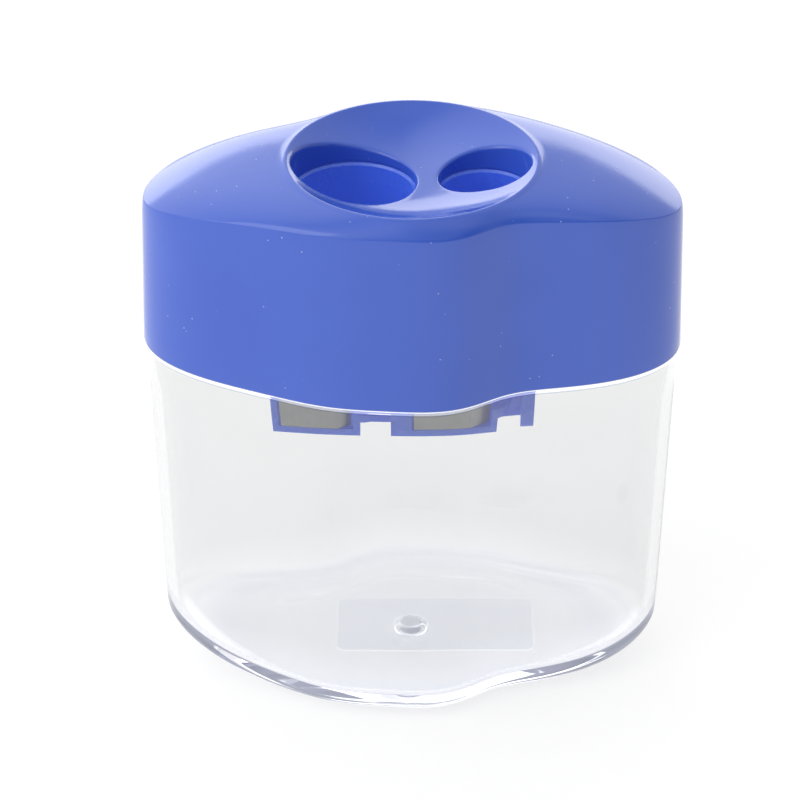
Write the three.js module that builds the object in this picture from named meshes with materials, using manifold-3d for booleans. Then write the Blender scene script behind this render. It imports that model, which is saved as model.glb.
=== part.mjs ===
// Two-hole pencil sharpener with a shavings container.
//
// A clear container is closed by a push-on lid. A moulded insert sits under the
// lid and holds two conical pencil bores, each with its own blade and screw.
//
// Units are millimetres and +Z is up. The origin is the middle of the base, on
// the surface that the sharpener stands on. The blades face -Y, the large bore
// is on the -X side and the small bore on the +X side.

import * as THREE from 'three';
import { mergeVertices } from 'three/addons/utils/BufferGeometryUtils.js';
import Module from 'manifold-3d';

const wasm = await Module();
wasm.setup();

// ---- Driving dimensions ----

const DEGREE = Math.PI / 180;

// Plan outline, as a radius that varies with the angle around the axis. It is
// the same after half a turn: two long tips and a rounded hub on each side.
const OUTLINE_MEAN_RADIUS = 17.45;
const OUTLINE_WAVES = [
  { lobes: 2, height: 5.2, turn: 2.78 * DEGREE },
  { lobes: 4, height: 2.1, turn: -1.46 * DEGREE },
  { lobes: 6, height: 0.66, turn: -6.38 * DEGREE },
];
const OUTLINE_STEPS = 72;

// Lid shell
const LID_EDGE_Z = 35.5;
const LID_WALL = 1.2;
const LID_DRAFT = { hub: 0.01, tips: 0.035 };
const LID_CREASE_Z = 52.7;
const LID_TIP_DROP = 2.7;
const LID_TIP_X = 25;
const LID_CREASE_RADIUS = 0.8;
const LID_CREASE_STEPS = 3;
const LID_ROOF = 1.8;
const RIM_HALF = { x: 11.5, y: 12.1 };
const RIM_Z = 54.2;
const RIM_ROUNDING = 0.35;
const DISH_DEPTH = 2.8;
const HUB_SLOPE = 0.6;
const WING_SLOPE = 1.9;
const TOP_SHARES = [0.93, 0.8, 0.62, 0.42, 0.26, 0.12, 0];
const DISH_SHARES = [1, 0.97, 0.8, 0.6, 0.35];
const ROOF_SHARES = [1, 0.75, 0.4];
const SOCKET_TOP_Z = 50.95;
const HOLE_STEP_Z = 51.3;
const SOCKET_RIB = 1.2;
const SOCKET_RIB_BOTTOM_Z = 46;
const SOCKET_GAP = 0.2;

// Container
const SHOULDER_Z = 35.45;
const BODY_INSET = 0.25;
const BEAD_INSET = 0.05;
const BEAD_HEIGHT = 0.35;
const BEAD_EDGE = 0.1;
const BODY_TAPER = 0.02;
const NECK_TOP_Z = 41;
const NECK_CLEARANCE = 0.2;
const NECK_WALL = 0.95;
const NECK_EDGE = 0.2;
const FLOOR_Z = 2;
const BASE_ROUNDING = { hub: { across: 2.9, up: 2.0 }, tips: { across: 11.2, up: 5.5 } };
const FLOOR_ROUNDING = { hub: { across: 1.2, up: 1.2 }, tips: { across: 9.4, up: 4.3 } };
const TIP_ROUNDING_POWER = 10;
const ROUNDING_STEPS = 5;
const GATE_RADIUS = 1.7;
const GATE_HEIGHT = 0.7;
const GATE_PROFILE = [[1, 0], [0.82, 0.8], [0.5, 1]];

// Blank paper label under the base
const LABEL = { x: 2.4, y: 1.5, width: 19.5, depth: 8.6, thickness: 0.1, corner: 0.8 };
const LABEL_RECESS = 0.25;
const LABEL_MARGIN = 0.4;
const LABEL_GAP = 0.05;

// Insert with the two bores
const INSERT_LEFT_X = -13.4;
const INSERT_RIGHT_X = 11.9;
const INSERT_HALF_DEPTH = 7.6;
const INSERT_TOP_Z = 50.9;
const INSERT_PLATE = 1.6;
const INSERT_BOTTOM_Z = 25.6;
const INSERT_PLATE_CORNER = 2;
const BORE_TIP_RADIUS = 0.45;
const BORE_CHAMFER = 0.4;
const BORE_WALL = 1;
const TUBE_BOTTOM_Z = 26.4;
const RIB = { front: 0, back: 1.4, bottom: 26.3 };
const LEG_WIDTH = 1.4;
const LEG_HALF_DEPTH = { bottom: 1.4, top: 6 };
const LEG_BOTTOM_Z = 26;
const LEG_CHAMFER = 0.6;
const BOUNDARY_X = 1.4;
const CIRCLE_STEPS = 40;
const CORNER_STEPS = 6;

// Blades and their seats. Each seat leaves a low border around its blade.
const BLADE = { length: 22, thickness: 0.9, bevel: 1.35, trim: 1.2 };
const BLADE_BOTTOM_Z = 26.5;
const SEAT_BORDER = 0.75;
const SEAT_THICKNESS = 1.8;
const SEAT_GAP = 0.25;
const WINDOW = { bottom: 2.4, top: 19, width: 2.8, depth: 1.6 };

// Countersunk slotted screws
const SCREW = {
  headRadius: 2.1, shankRadius: 0.9, length: 3.2, proud: 0.1, dome: 0.15, tip: 0.5,
};
const SCREW_SLOT = { width: 0.5, depth: 0.5, turn: 30 * DEGREE };
const SCREW_SHIFT = 0.2;
const SCREW_GAP = 0.25;
const SCREW_STEPS = 24;

// How far a cutter runs past the face that it opens
const PAST = 1;
const CUT_DEPTH = 6;
const MERGE_DISTANCE = 1e-4;

const BORES = {
  large: {
    x: -5.3, radius: 5.6, lidRadius: 5.85, guide: 2,
    block: [-13.4, -4.8], blade: [-12.4, -5.9],
  },
  small: {
    x: 6.65, radius: 4.15, lidRadius: 4.35, guide: 5.5,
    block: [-1.9, 8.0], blade: [0.25, 7.3],
  },
};

// ---- Materials ----

const MATERIALS = {
  lid: new THREE.MeshStandardMaterial({ color: 0x3d55cc, roughness: 0.18, metalness: 0 }),
  clear: new THREE.MeshStandardMaterial({
    color: 0xf2f4f7, roughness: 0.06, metalness: 0, transparent: true, opacity: 0.3,
  }),
  insert: new THREE.MeshStandardMaterial({ color: 0x3550c8, roughness: 0.3, metalness: 0 }),
  steel: new THREE.MeshStandardMaterial({ color: 0x9a9a96, roughness: 0.32, metalness: 1 }),
  screw: new THREE.MeshStandardMaterial({ color: 0xb4b2ab, roughness: 0.25, metalness: 1 }),
  paper: new THREE.MeshStandardMaterial({ color: 0xf1f1f2, roughness: 0.8, metalness: 0 }),
};

// ---- Outline ----

function outlineRadius(angle) {
  return OUTLINE_WAVES.reduce(
    (radius, wave) => radius + wave.height * Math.cos(wave.lobes * (angle - wave.turn)),
    OUTLINE_MEAN_RADIUS,
  );
}

function outlineSlope(angle) {
  return OUTLINE_WAVES.reduce(
    (slope, wave) => slope - wave.height * wave.lobes * Math.sin(wave.lobes * (angle - wave.turn)),
    0,
  );
}

const stations = Array.from({ length: OUTLINE_STEPS }, (_, step) => {
  const angle = (step / OUTLINE_STEPS) * 2 * Math.PI;
  const radius = outlineRadius(angle);
  const slope = outlineSlope(angle);
  const outward = new THREE.Vector2(Math.cos(angle), Math.sin(angle));
  const tangent = new THREE.Vector2(
    slope * outward.x - radius * outward.y,
    slope * outward.y + radius * outward.x,
  ).normalize();
  return {
    radius,
    outward,
    normal: new THREE.Vector2(tangent.y, -tangent.x),
    point: outward.clone().multiplyScalar(radius),
  };
});

const hubRadius = Math.min(...stations.map((station) => station.radius));
const tipRadius = Math.max(...stations.map((station) => station.radius));

// 0 at the hub and 1 at the tips
function tipShare(station) {
  return (station.radius - hubRadius) / (tipRadius - hubRadius);
}

function between(low, high, share) {
  return low + (high - low) * share;
}

function insetPoint(station, inset) {
  return station.point.clone().addScaledVector(station.normal, -inset);
}

// A ring of points, one for each station. place() returns [x, y, z].
function ring(place) {
  return stations.map((station) => new THREE.Vector3(...place(station)));
}

// insetAt(station, z) gives how far the ring lies inside the outline
function levelRing(insetAt, z) {
  return ring((station) => {
    const point = insetPoint(station, insetAt(station, z));
    return [point.x, point.y, z];
  });
}

function circleRing(radius, z) {
  return ring(({ outward }) => [outward.x * radius, outward.y * radius, z]);
}

// ---- Geometry helpers ----

// A closed skin through a stack of rings, with a point on the axis at each end
function loft(rings, startZ, endZ) {
  const positions = [];
  const faces = [];
  const count = OUTLINE_STEPS;
  rings.flat().forEach((point) => positions.push(point.x, point.y, point.z));
  const start = positions.length / 3;
  positions.push(0, 0, startZ, 0, 0, endZ);
  for (let step = 0; step < count; step += 1) {
    const next = (step + 1) % count;
    const top = (rings.length - 1) * count;
    faces.push(start, next, step, start + 1, top + step, top + next);
    for (let level = 0; level < rings.length - 1; level += 1) {
      const low = level * count;
      const high = low + count;
      faces.push(low + step, low + next, high + next);
      faces.push(low + step, high + next, high + step);
    }
  }
  const geometry = new THREE.BufferGeometry();
  geometry.setAttribute('position', new THREE.Float32BufferAttribute(positions, 3));
  geometry.setIndex(faces);
  return geometry;
}

function block(x, y, z) {
  const geometry = new THREE.BoxGeometry(x[1] - x[0], y[1] - y[0], z[1] - z[0]);
  return geometry.translate((x[0] + x[1]) / 2, (y[0] + y[1]) / 2, (z[0] + z[1]) / 2);
}

// A turned solid about the line x = centreX, y = 0. The profile lists
// [radius, z] from the bottom of the axis to the top of the axis.
function turned(profile, centreX) {
  const points = profile.map(([radius, z]) => new THREE.Vector2(radius, z));
  const geometry = new THREE.LatheGeometry(points, CIRCLE_STEPS);
  return geometry.rotateX(Math.PI / 2).translate(centreX, 0, 0);
}

// A prism along X whose section is a list of [y, z] points
function prism(section, x) {
  const shape = new THREE.Shape(section.map(([y, z]) => new THREE.Vector2(y, z)));
  const geometry = new THREE.ExtrudeGeometry(shape, { depth: x[1] - x[0], bevelEnabled: false });
  const axes = new THREE.Matrix4().makeBasis(
    new THREE.Vector3(0, 1, 0),
    new THREE.Vector3(0, 0, 1),
    new THREE.Vector3(1, 0, 0),
  );
  return geometry.applyMatrix4(axes).translate(x[0], 0, 0);
}

function roundedPlate(x, halfDepth, corner, z) {
  const shape = new THREE.Shape();
  shape.moveTo(x[0] + corner, -halfDepth);
  shape.lineTo(x[1] - corner, -halfDepth);
  shape.absarc(x[1] - corner, -halfDepth + corner, corner, -Math.PI / 2, 0);
  shape.absarc(x[1] - corner, halfDepth - corner, corner, 0, Math.PI / 2);
  shape.absarc(x[0] + corner, halfDepth - corner, corner, Math.PI / 2, Math.PI);
  shape.absarc(x[0] + corner, -halfDepth + corner, corner, Math.PI, 1.5 * Math.PI);
  const options = { depth: z[1] - z[0], bevelEnabled: false, curveSegments: CORNER_STEPS };
  return new THREE.ExtrudeGeometry(shape, options).translate(0, 0, z[0]);
}

function solid(geometry) {
  const plain = geometry.index ? geometry.clone() : geometry;
  plain.deleteAttribute('normal');
  plain.deleteAttribute('uv');
  const merged = mergeVertices(plain, MERGE_DISTANCE);
  const faces = [];
  for (let i = 0; i < merged.index.count; i += 3) {
    const face = [merged.index.getX(i), merged.index.getX(i + 1), merged.index.getX(i + 2)];
    if (new Set(face).size === 3) {
      faces.push(...face);
    }
  }
  return new wasm.Manifold(new wasm.Mesh({
    numProp: 3,
    vertProperties: new Float32Array(merged.attributes.position.array),
    triVerts: new Uint32Array(faces),
  }));
}

function joined(geometries) {
  return geometries.map(solid).reduce((total, next) => total.add(next));
}

function cut(body, geometries) {
  return geometries.map(solid).reduce((total, next) => total.subtract(next), body);
}

function meshOf(name, body, material) {
  const { vertProperties, triVerts } = body.getMesh();
  const geometry = new THREE.BufferGeometry();
  geometry.setAttribute('position', new THREE.BufferAttribute(vertProperties, 3));
  geometry.setIndex(new THREE.BufferAttribute(triVerts, 1));
  geometry.computeVertexNormals();
  const mesh = new THREE.Mesh(geometry, material);
  mesh.name = name;
  return mesh;
}

// ---- Lid ----

function creaseZ(x) {
  return LID_CREASE_Z - LID_TIP_DROP * (x / LID_TIP_X) ** 4;
}

function lidWallInset(station, z) {
  return between(LID_DRAFT.hub, LID_DRAFT.tips, tipShare(station)) * (z - LID_EDGE_Z);
}

function lidInnerInset(station, z) {
  return LID_WALL + lidWallInset(station, z);
}

// A ring at the top edge of the side wall. share runs from 0 at the wall to 1
// on the top surface, around the rounded crease.
function creaseRing(share) {
  const turn = share * Math.PI / 2;
  return ring((station) => {
    const wallTop = creaseZ(station.point.x) - LID_CREASE_RADIUS;
    const inset = lidWallInset(station, wallTop) + LID_CREASE_RADIUS * (1 - Math.cos(turn));
    const point = insetPoint(station, inset);
    return [point.x, point.y, wallTop + LID_CREASE_RADIUS * Math.sin(turn)];
  });
}

// A ring on the top surface. share runs from 0 at the rim to 1 at the crease.
function topRing(share, outer) {
  return ring((station) => {
    const edge = outer[stations.indexOf(station)];
    const x = between((RIM_HALF.x + RIM_ROUNDING) * station.outward.x, edge.x, share);
    const y = between((RIM_HALF.y + RIM_ROUNDING) * station.outward.y, edge.y, share);
    const power = HUB_SLOPE + WING_SLOPE * tipShare(station) ** 3;
    const rise = (RIM_Z - RIM_ROUNDING / 2 - creaseZ(x)) * (1 - share) ** power;
    return [x, y, creaseZ(x) + rise];
  });
}

// Height of the dish. share runs from 0 on the axis to 1 at the rim.
function dishZ(share) {
  return RIM_Z - DISH_DEPTH * (1 - share ** 2);
}

function dishRing(share) {
  return ring(({ outward }) => [
    RIM_HALF.x * share * outward.x,
    RIM_HALF.y * share * outward.y,
    dishZ(share),
  ]);
}

function lidOuter() {
  const crease = Array.from({ length: LID_CREASE_STEPS + 1 }, (_, step) => (
    creaseRing(step / LID_CREASE_STEPS)
  ));
  return loft([
    levelRing(lidWallInset, LID_EDGE_Z),
    ...crease,
    ...TOP_SHARES.map((share) => topRing(share, crease[LID_CREASE_STEPS])),
    ...DISH_SHARES.map(dishRing),
  ], LID_EDGE_Z, dishZ(0));
}

function roofRing(share) {
  return ring((station) => {
    const wall = insetPoint(station, lidInnerInset(station, LID_CREASE_Z));
    const point = wall.multiplyScalar(share);
    return [point.x, point.y, creaseZ(point.x) - LID_ROOF];
  });
}

function lidHollow() {
  const below = LID_EDGE_Z - PAST;
  return loft([
    levelRing(lidInnerInset, below),
    levelRing(lidInnerInset, LID_EDGE_Z),
    ...ROOF_SHARES.map(roofRing),
  ], below, LID_CREASE_Z - LID_ROOF);
}

function makeLid() {
  const left = INSERT_LEFT_X - SOCKET_GAP;
  const right = INSERT_RIGHT_X + SOCKET_GAP;
  const halfDepth = INSERT_HALF_DEPTH + SOCKET_GAP;
  const ribDepth = [-halfDepth - SOCKET_RIB / 2, halfDepth + SOCKET_RIB / 2];
  const ribHeight = [SOCKET_RIB_BOTTOM_Z, SOCKET_TOP_Z];
  const socketDepth = [-halfDepth, halfDepth];
  let lid = cut(solid(lidOuter()), [lidHollow()]);
  lid = lid.add(solid(block([left - SOCKET_RIB, left], ribDepth, ribHeight)));
  lid = lid.add(solid(block([right, right + SOCKET_RIB], ribDepth, ribHeight)));
  lid = cut(lid, [block([left, right], socketDepth, ribHeight)]);
  const holes = Object.values(BORES).map((bore) => turned([
    [0, SOCKET_RIB_BOTTOM_Z],
    [bore.radius, SOCKET_RIB_BOTTOM_Z],
    [bore.radius, HOLE_STEP_Z],
    [bore.lidRadius, HOLE_STEP_Z],
    [bore.lidRadius, RIM_Z + PAST],
    [0, RIM_Z + PAST],
  ], bore.x));
  return meshOf('lid', cut(lid, holes), MATERIALS.lid);
}

// ---- Container ----

function bodyInset(station, z) {
  return BODY_INSET + BODY_TAPER * (SHOULDER_Z - z);
}

// A ring on a rounded lower edge. share runs from 0 on the flat bottom to 1
// where the side wall starts. The rounding is larger at the tips.
function roundedRing(share, bottomZ, wallInset, rounding) {
  const turn = share * Math.PI / 2;
  return ring((station) => {
    const tip = Math.abs(station.outward.x) ** TIP_ROUNDING_POWER;
    const across = between(rounding.hub.across, rounding.tips.across, tip);
    const up = between(rounding.hub.up, rounding.tips.up, tip);
    const z = bottomZ + up * (1 - Math.cos(turn));
    const point = insetPoint(station, wallInset(station, z));
    point.addScaledVector(station.outward, -across * (1 - Math.sin(turn)));
    return [point.x, point.y, z];
  });
}

function roundedRings(bottomZ, wallInset, rounding) {
  return Array.from({ length: ROUNDING_STEPS + 1 }, (_, step) => (
    roundedRing(step / ROUNDING_STEPS, bottomZ, wallInset, rounding)
  ));
}

// The neck's outside stands upright, clear of the lid where the lid is narrowest
function neckInset(station) {
  return NECK_CLEARANCE + lidInnerInset(station, NECK_TOP_Z);
}

function cavityInset(station, z) {
  return neckInset(station) + NECK_WALL + BODY_TAPER * (NECK_TOP_Z - z);
}

function makeContainer() {
  const beadZ = SHOULDER_Z - BEAD_HEIGHT;
  const skin = loft([
    ...roundedRings(0, bodyInset, BASE_ROUNDING),
    levelRing(bodyInset, beadZ - BEAD_EDGE),
    levelRing(() => BEAD_INSET, beadZ),
    levelRing(() => BEAD_INSET, SHOULDER_Z - BEAD_EDGE),
    levelRing(() => BEAD_INSET + BEAD_EDGE, SHOULDER_Z),
    levelRing(neckInset, SHOULDER_Z),
    levelRing(neckInset, NECK_TOP_Z - NECK_EDGE),
    levelRing((station) => neckInset(station) + NECK_EDGE, NECK_TOP_Z),
    levelRing((station, z) => cavityInset(station, z) - NECK_EDGE, NECK_TOP_Z),
    levelRing(cavityInset, NECK_TOP_Z - NECK_EDGE),
    ...roundedRings(FLOOR_Z, cavityInset, FLOOR_ROUNDING).reverse(),
    ...GATE_PROFILE.map(([radius, height]) => (
      circleRing(GATE_RADIUS * radius, FLOOR_Z + GATE_HEIGHT * height)
    )),
  ], 0, FLOOR_Z + GATE_HEIGHT);
  const recess = block(
    [LABEL.x - LABEL.width / 2 - LABEL_MARGIN, LABEL.x + LABEL.width / 2 + LABEL_MARGIN],
    [LABEL.y - LABEL.depth / 2 - LABEL_MARGIN, LABEL.y + LABEL.depth / 2 + LABEL_MARGIN],
    [-PAST, LABEL_RECESS],
  );
  return meshOf('container', cut(solid(skin), [recess]), MATERIALS.clear);
}

function makeLabel() {
  const label = roundedPlate(
    [LABEL.x - LABEL.width / 2, LABEL.x + LABEL.width / 2],
    LABEL.depth / 2,
    LABEL.corner,
    [LABEL_RECESS - LABEL_GAP - LABEL.thickness, LABEL_RECESS - LABEL_GAP],
  ).translate(0, LABEL.y, 0);
  return meshOf('base_label', solid(label), MATERIALS.paper);
}

// ---- Bores, and the turned frame of each blade ----

function coneTopZ(bore) {
  return INSERT_TOP_Z - bore.guide;
}

function coneSlope(bore) {
  return (bore.radius - BORE_TIP_RADIUS) / (coneTopZ(bore) - INSERT_BOTTOM_Z);
}

// Radius of the cone at height z
function coneRadius(bore, z) {
  return BORE_TIP_RADIUS + coneSlope(bore) * (z - INSERT_BOTTOM_Z);
}

function boreCutter(bore) {
  return turned([
    [0, INSERT_BOTTOM_Z - PAST],
    [BORE_TIP_RADIUS, INSERT_BOTTOM_Z - PAST],
    [BORE_TIP_RADIUS, INSERT_BOTTOM_Z],
    [bore.radius, coneTopZ(bore)],
    [bore.radius, INSERT_TOP_Z - BORE_CHAMFER],
    [bore.radius + BORE_CHAMFER, INSERT_TOP_Z],
    [bore.radius + BORE_CHAMFER, INSERT_TOP_Z + PAST],
    [0, INSERT_TOP_Z + PAST],
  ], bore.x);
}

function boreTube(bore) {
  return turned([
    [0, TUBE_BOTTOM_Z],
    [coneRadius(bore, TUBE_BOTTOM_Z) + BORE_WALL, TUBE_BOTTOM_Z],
    [bore.radius + BORE_WALL, coneTopZ(bore)],
    [bore.radius + BORE_WALL, INSERT_TOP_Z - INSERT_PLATE / 2],
    [0, INSERT_TOP_Z - INSERT_PLATE / 2],
  ], bore.x);
}

// The blade's frame touches the cone along its front line. Its origin is at
// the lower end of the blade, +Z runs up the blade and -Y points outward.
function bladeGroup(bore) {
  const group = new THREE.Group();
  group.position.set(0, -coneRadius(bore, BLADE_BOTTOM_Z), BLADE_BOTTOM_Z);
  group.rotation.x = Math.atan(coneSlope(bore));
  group.updateMatrix();
  return group;
}

function screwPlace(bore) {
  return [(bore.blade[0] + bore.blade[1]) / 2 - SCREW_SHIFT, BLADE.length / 2];
}

// ---- Insert ----

function seatPrism(bore) {
  const stretch = 1 / Math.cos(Math.atan(coneSlope(bore)));
  const top = INSERT_TOP_Z - INSERT_PLATE / 2;
  const face = (z, offset) => [-coneRadius(bore, z) + offset * stretch, z];
  return prism([
    face(INSERT_BOTTOM_Z, -SEAT_BORDER),
    face(INSERT_BOTTOM_Z, SEAT_THICKNESS),
    face(top, SEAT_THICKNESS),
    face(top, -SEAT_BORDER),
  ], bore.block);
}

function frontTrim(bore, x) {
  return block(x, [-2 * CUT_DEPTH, -SEAT_BORDER], [-CUT_DEPTH, BLADE.length + BLADE.trim])
    .applyMatrix4(bladeGroup(bore).matrix);
}

function bladePocket(bore) {
  return block(
    [bore.blade[0] - SEAT_GAP, bore.blade[1] + SEAT_GAP],
    [-CUT_DEPTH, SEAT_GAP],
    [-SEAT_GAP, BLADE.length + SEAT_GAP],
  ).applyMatrix4(bladeGroup(bore).matrix);
}

function chipWindow(bore) {
  return block(
    [bore.blade[1], bore.blade[1] + WINDOW.width],
    [-CUT_DEPTH, WINDOW.depth],
    [WINDOW.bottom, WINDOW.top],
  ).applyMatrix4(bladeGroup(bore).matrix);
}

function screwHole(bore) {
  const [x, z] = screwPlace(bore);
  const radius = SCREW.shankRadius + SCREW_GAP;
  return new THREE.CylinderGeometry(radius, radius, SCREW.length + 2 * PAST, SCREW_STEPS)
    .translate(x, SCREW.length / 2, z)
    .applyMatrix4(bladeGroup(bore).matrix);
}

function endLeg(x) {
  const top = INSERT_TOP_Z - INSERT_PLATE / 2;
  const foot = LEG_HALF_DEPTH.bottom;
  return prism([
    [-foot + LEG_CHAMFER, LEG_BOTTOM_Z],
    [foot - LEG_CHAMFER, LEG_BOTTOM_Z],
    [foot, LEG_BOTTOM_Z + LEG_CHAMFER],
    [LEG_HALF_DEPTH.top, top],
    [-LEG_HALF_DEPTH.top, top],
    [-foot, LEG_BOTTOM_Z + LEG_CHAMFER],
  ], x);
}

function makeInsert() {
  const bores = Object.values(BORES);
  const plateZ = [INSERT_TOP_Z - INSERT_PLATE, INSERT_TOP_Z];
  const ribX = [INSERT_LEFT_X, INSERT_RIGHT_X];
  let insert = joined([
    ...bores.map(boreTube),
    ...bores.map(seatPrism),
    block(ribX, [RIB.front, RIB.back], [RIB.bottom, plateZ[1] - INSERT_PLATE / 2]),
    endLeg([INSERT_LEFT_X, INSERT_LEFT_X + LEG_WIDTH]),
    endLeg([INSERT_RIGHT_X - LEG_WIDTH, INSERT_RIGHT_X]),
  ]);
  insert = cut(insert, [
    frontTrim(BORES.large, [INSERT_LEFT_X - 2, BOUNDARY_X]),
    frontTrim(BORES.small, [BOUNDARY_X, INSERT_RIGHT_X + 2]),
    ...bores.map(bladePocket),
    ...bores.map(chipWindow),
  ]);
  insert = insert.add(solid(roundedPlate(ribX, INSERT_HALF_DEPTH, INSERT_PLATE_CORNER, plateZ)));
  insert = cut(insert, [...bores.map(boreCutter), ...bores.map(screwHole)]);
  return meshOf('sharpener_insert', insert, MATERIALS.insert);
}

// ---- Blades and screws ----

// In the blade's own frame: the bevel runs along the +X edge, on the outside
function makeBlade(name, bore) {
  const [left, right] = bore.blade;
  const section = new THREE.Shape([
    new THREE.Vector2(left, -BLADE.thickness),
    new THREE.Vector2(right - BLADE.bevel, -BLADE.thickness),
    new THREE.Vector2(right, 0),
    new THREE.Vector2(left, 0),
  ]);
  const bar = new THREE.ExtrudeGeometry(section, { depth: BLADE.length, bevelEnabled: false });
  const [x, z] = screwPlace(bore);
  const sink = new THREE.LatheGeometry([
    new THREE.Vector2(0, -PAST),
    new THREE.Vector2(SCREW.shankRadius + SCREW_GAP, -PAST),
    new THREE.Vector2(SCREW.shankRadius + SCREW_GAP, 0),
    new THREE.Vector2(SCREW.headRadius + SCREW_GAP, BLADE.thickness),
    new THREE.Vector2(SCREW.headRadius + SCREW_GAP, BLADE.thickness + PAST),
    new THREE.Vector2(0, BLADE.thickness + PAST),
  ], SCREW_STEPS).rotateX(Math.PI).translate(x, 0, z);
  return meshOf(name, cut(solid(bar), [sink]), MATERIALS.steel);
}

function makeScrew(name, bore) {
  const [x, z] = screwPlace(bore);
  const head = BLADE.thickness + SCREW.proud;
  const turnedScrew = new THREE.LatheGeometry([
    new THREE.Vector2(0, -SCREW.length),
    new THREE.Vector2(SCREW.shankRadius / 2, -SCREW.length),
    new THREE.Vector2(SCREW.shankRadius, -SCREW.length + SCREW.tip),
    new THREE.Vector2(SCREW.shankRadius, SCREW.proud),
    new THREE.Vector2(SCREW.headRadius, head - SCREW.proud),
    new THREE.Vector2(SCREW.headRadius / 2, head + SCREW.proud),
    new THREE.Vector2(0, head + SCREW.dome),
  ], SCREW_STEPS).rotateX(Math.PI);
  const slot = block(
    [-SCREW.headRadius - PAST, SCREW.headRadius + PAST],
    [-head - PAST, -head + SCREW_SLOT.depth],
    [-SCREW_SLOT.width / 2, SCREW_SLOT.width / 2],
  ).rotateY(SCREW_SLOT.turn);
  const screw = meshOf(name, cut(solid(turnedScrew), [slot]), MATERIALS.screw);
  screw.position.set(x, 0, z);
  return screw;
}

// ---- Assembly ----

const sharpener = new THREE.Group();
sharpener.add(makeContainer());
sharpener.add(makeLabel());
sharpener.add(makeLid());
sharpener.add(makeInsert());
for (const [size, bore] of Object.entries(BORES)) {
  const unit = bladeGroup(bore);
  unit.add(makeBlade(`${size}_bore_blade`, bore));
  unit.add(makeScrew(`${size}_bore_screw`, bore));
  sharpener.add(unit);
}

export default sharpener;
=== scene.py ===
# Two-hole pencil sharpener with a clear shavings container.
#
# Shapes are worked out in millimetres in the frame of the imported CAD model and
# turned into metres when a mesh is made. +Z is up, the blades face -Y, the large
# bore is on the -X side and the small bore on the +X side. The hub is the middle
# of the object, and the tips are its two ends along X.

import math

import bmesh
import bpy
import numpy as np
from mathutils import Matrix, Vector
from mathutils.geometry import delaunay_2d_cdt


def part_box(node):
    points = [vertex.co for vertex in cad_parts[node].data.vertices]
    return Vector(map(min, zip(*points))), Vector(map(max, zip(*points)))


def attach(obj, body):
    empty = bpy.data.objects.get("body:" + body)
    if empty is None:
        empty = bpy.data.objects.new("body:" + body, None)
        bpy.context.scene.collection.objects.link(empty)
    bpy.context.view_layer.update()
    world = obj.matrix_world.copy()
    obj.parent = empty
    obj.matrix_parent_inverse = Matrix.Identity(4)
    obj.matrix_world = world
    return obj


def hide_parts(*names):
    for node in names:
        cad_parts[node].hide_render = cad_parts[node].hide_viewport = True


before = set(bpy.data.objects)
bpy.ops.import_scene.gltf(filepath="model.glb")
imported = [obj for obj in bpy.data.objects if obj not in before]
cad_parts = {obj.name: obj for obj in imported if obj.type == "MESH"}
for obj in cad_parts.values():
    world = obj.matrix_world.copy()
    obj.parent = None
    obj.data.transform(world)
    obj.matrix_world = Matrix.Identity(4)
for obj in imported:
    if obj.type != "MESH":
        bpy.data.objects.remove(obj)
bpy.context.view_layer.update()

MM = 0.001
RIGHT_ANGLE = math.pi / 2


def node_box(name):
    """Lowest and highest corner of a CAD node, in millimetres."""
    low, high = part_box(name)
    return Vector(low) / MM, Vector(high) / MM


LID_LOW, LID_HIGH = node_box("lid")
INSERT_LOW, INSERT_HIGH = node_box("sharpener_insert")
LABEL_LOW, LABEL_HIGH = node_box("base_label")

# ---- Driving dimensions, in millimetres ----

# Plan outline: a mean radius, and waves around it of so many lobes, height and turn
OUTLINE_MEAN_RADIUS = 17.45
OUTLINE_WAVES = [
    (2, 5.2, math.radians(2.78)),
    (4, 2.1, math.radians(-1.46)),
    (6, 0.66, math.radians(-6.38)),
]
OUTLINE_STEPS = 288

# Lid: side wall, which leans in by its draft
EDGE_Z = LID_LOW.z
EDGE_ROUNDING = 0.12
LID_WALL = 1.2
HUB_DRAFT, TIP_DRAFT = 0.01, 0.035

# Lid: the crease above the side wall, which lies lower at the tips. It is rounded
# from CREASE_FALL below its corner to CREASE_REACH inside it, where CREASE_EDGE
# keeps it crisp
CREASE_Z = LID_HIGH.z - 1.8
TIP_DROP, TIP_DROP_POWER, TIP_X = 2.4, 4, 25
CREASE_FALL, CREASE_STEP = 1.3, 0.2
CREASE_REACH, CREASE_REACH_SHARE = 0.15, 0.45
CREASE_EDGE, CREASE_EDGE_SHARE = 0.07, 0.1

# Lid: flanks that rise from the crease to the rim. Their power is lowest, for a
# full and round flank, halfway between the hub and the tips
HUB_POWER, WING_POWER, CORNER_POWER = 0.6, 0.6, 0.33
WING_SHARE_POWER = 1.5
FLANK_OFFSET = 0.04

# Lid: oval rim and the dish inside it, which is a little shallower at the small bore
RIM_X, RIM_Y = 11.5, 12.1
RIM_Z = LID_HIGH.z + 0.03
RIM_INNER_SHARE = 0.986
RIM_OUTER, RIM_OUTER_DROP = 0.4, 0.2
DISH_DEPTH, DISH_POWER = 2.4, 3
DISH_LIFT, DISH_LIFT_X = 0.3, (-1.0, 7.0)
DISH_GRID = 0.4

# Lid: roof, as a thickness under the height of the crease
ROOF, ROOF_ROUNDING = 1.35, 0.5
ROOF_GRID = 1.2

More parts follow.
